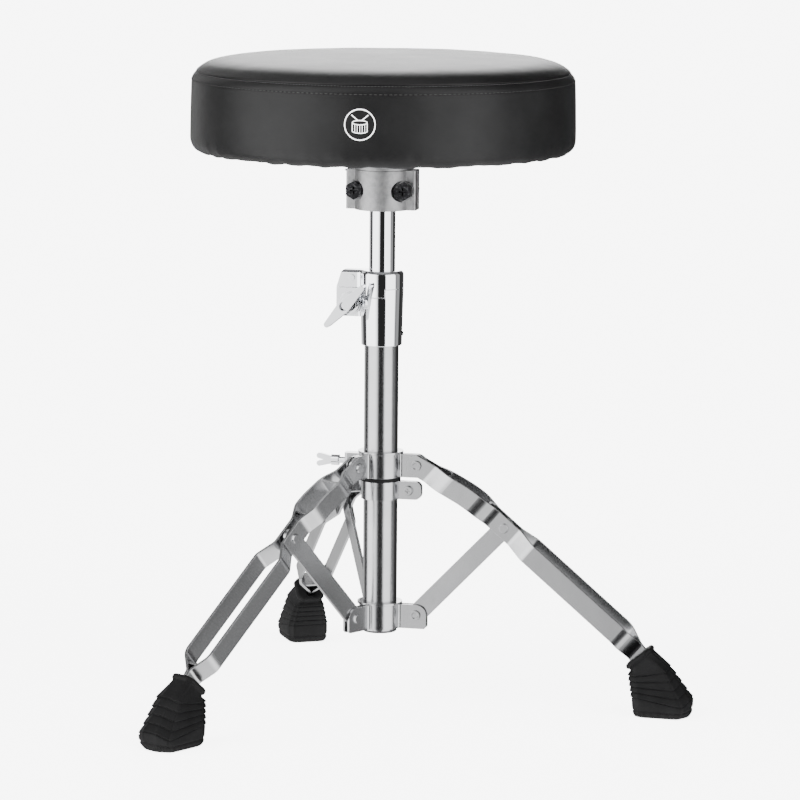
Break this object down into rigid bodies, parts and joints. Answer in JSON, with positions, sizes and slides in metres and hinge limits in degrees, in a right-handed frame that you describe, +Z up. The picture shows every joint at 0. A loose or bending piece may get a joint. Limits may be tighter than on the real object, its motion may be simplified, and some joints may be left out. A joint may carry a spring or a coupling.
{
  "type": "drum throne",
  "caption": "Round padded drum throne on a height-adjustable post, with a stop lock and a folding double-strap tripod base on large rubber feet.",
  "frame": {"origin": "on the floor, on the axis of the post", "axes": "+Z up along the post; +X along leg 1; leg 2 and leg 3 follow at 120 and 240 degrees about +Z; the clamp ears point to -X and the wing nut faces -Y"},
  "size_m": [0.4745, 0.523, 0.605],
  "materials": {
    "chrome": "mirror chrome plate",
    "cast_aluminium": "matte sand-cast",
    "black_steel": "black oxide",
    "zinc_steel": "zinc plate",
    "rubber": "matte moulded",
    "black_plastic": "matte moulded",
    "seat_vinyl": "satin grained vinyl",
    "seat_foam": "open-cell foam",
    "plywood": "bare plywood",
    "dust_cloth": "non-woven cloth"
  },
  "bodies": {
    "base": {"main_tube": "chrome", "main_tube_plug": "black_plastic", "clamp_body": "chrome", "clamp_bushing": "black_plastic", "clamp_bolt": "chrome", "clamp_washer": "chrome", "clamp_set_screw": "black_steel", "lower_collar_sleeve": "chrome", "lower_collar_plates": "chrome", "lower_collar_rivets": "chrome"},
    "post": {"seat_post": "chrome", "seat_post_plug": "black_plastic"},
    "seat": {"seat_cover": "seat_vinyl", "seat_foam": "seat_foam", "seat_base_board": "plywood", "seat_dust_cover": "dust_cloth", "seat_tee_nuts": "zinc_steel", "seat_cover_staples": "zinc_steel", "seat_bracket_screws": "zinc_steel", "seat_bracket": "cast_aluminium", "seat_bracket_cap": "cast_aluminium", "bracket_bolts": "black_steel", "bracket_nuts": "black_steel", "bracket_wire_clip": "chrome"},
    "stop_lock": {"stop_lock": "chrome", "stop_lock_screw": "chrome"},
    "wing_nut": {"wing_nut": "chrome"},
    "leg_collar": {"leg_collar_sleeve": "chrome", "leg_collar_plates": "chrome", "leg_collar_rivets": "chrome", "collar_lock_block": "chrome"},
    "collar_screw": {"collar_lock_screw": "chrome"},
    "stop_ring": {"stop_ring": "chrome", "stop_ring_screw": "chrome", "stop_ring_nut": "chrome", "collar_rubber_washer": "rubber"},
    "leg_1": {"leg_1_strap_left": "chrome", "leg_1_strap_right": "chrome", "leg_1_spacers": "chrome", "leg_1_rivets": "chrome", "leg_1_foot": "rubber"},
    "brace_1": {"brace_1": "chrome"},
    "leg_2": {"leg_2_strap_left": "chrome", "leg_2_strap_right": "chrome", "leg_2_spacers": "chrome", "leg_2_rivets": "chrome", "leg_2_foot": "rubber"},
    "brace_2": {"brace_2": "chrome"},
    "leg_3": {"leg_3_strap_left": "chrome", "leg_3_strap_right": "chrome", "leg_3_spacers": "chrome", "leg_3_rivets": "chrome", "leg_3_foot": "rubber"},
    "brace_3": {"brace_3": "chrome"}
  },
  "joints": [
    {"name": "height_slide", "type": "slide", "parent": "base", "child": "post", "axis": [0, 0, 1], "range_m": [0, 0.095]},
    {"name": "seat_turn", "type": "hinge", "parent": "post", "child": "seat", "pos_m": [0, 0, 0.462], "axis": [0, 0, 1], "continuous": true},
    {"name": "stop_lock_slide", "type": "slide", "parent": "post", "child": "stop_lock", "axis": [0, 0, 1], "range_m": [0, 0.05]},
    {"name": "wing_nut_turn", "type": "hinge", "parent": "base", "child": "wing_nut", "pos_m": [-0.0285, -0.0225, 0.374], "axis": [0, -1, 0], "continuous": true},
    {"name": "collar_slide", "type": "slide", "parent": "base", "child": "leg_collar", "axis": [0, 0, 1], "range_m": [0, 0.075]},
    {"name": "collar_screw_turn", "type": "hinge", "parent": "leg_collar", "child": "collar_screw", "pos_m": [-0.045, 0, 0.2251], "axis": [-1, 0, 0], "continuous": true},
    {"name": "stop_ring_slide", "type": "slide", "parent": "base", "child": "stop_ring", "axis": [0, 0, 1], "range_m": [-0.035, 0]},
    {"name": "leg_1_fold", "type": "hinge", "parent": "leg_collar", "child": "leg_1", "pos_m": [0.0348, 0, 0.2237], "axis": [0, 1, 0], "range_deg": [0, 45]},
    {"name": "brace_1_fold", "type": "hinge", "parent": "base", "child": "brace_1", "pos_m": [0.0347, 0, 0.0816], "axis": [0, -1, 0], "range_deg": [0, 34]},
    {"name": "leg_2_fold", "type": "hinge", "parent": "leg_collar", "child": "leg_2", "pos_m": [-0.0174, 0.03014, 0.2237], "axis": [-0.866, -0.5, 0], "range_deg": [0, 45]},
    {"name": "brace_2_fold", "type": "hinge", "parent": "base", "child": "brace_2", "pos_m": [-0.01735, 0.03005, 0.0816], "axis": [0.866, 0.5, 0], "range_deg": [0, 34]},
    {"name": "leg_3_fold", "type": "hinge", "parent": "leg_collar", "child": "leg_3", "pos_m": [-0.0174, -0.03014, 0.2237], "axis": [0.866, -0.5, 0], "range_deg": [0, 45]},
    {"name": "brace_3_fold", "type": "hinge", "parent": "base", "child": "brace_3", "pos_m": [-0.01735, -0.03005, 0.0816], "axis": [-0.866, 0.5, 0], "range_deg": [0, 34]}
  ],
  "couplings": [
    {"joint": "leg_1_fold", "follows": "collar_slide", "rad_per_m": 10.402},
    {"joint": "brace_1_fold", "follows": "collar_slide", "rad_per_m": 7.8414},
    {"joint": "leg_2_fold", "follows": "collar_slide", "rad_per_m": 10.402},
    {"joint": "brace_2_fold", "follows": "collar_slide", "rad_per_m": 7.8414},
    {"joint": "leg_3_fold", "follows": "collar_slide", "rad_per_m": 10.402},
    {"joint": "brace_3_fold", "follows": "collar_slide", "rad_per_m": 7.8414}
  ]
}
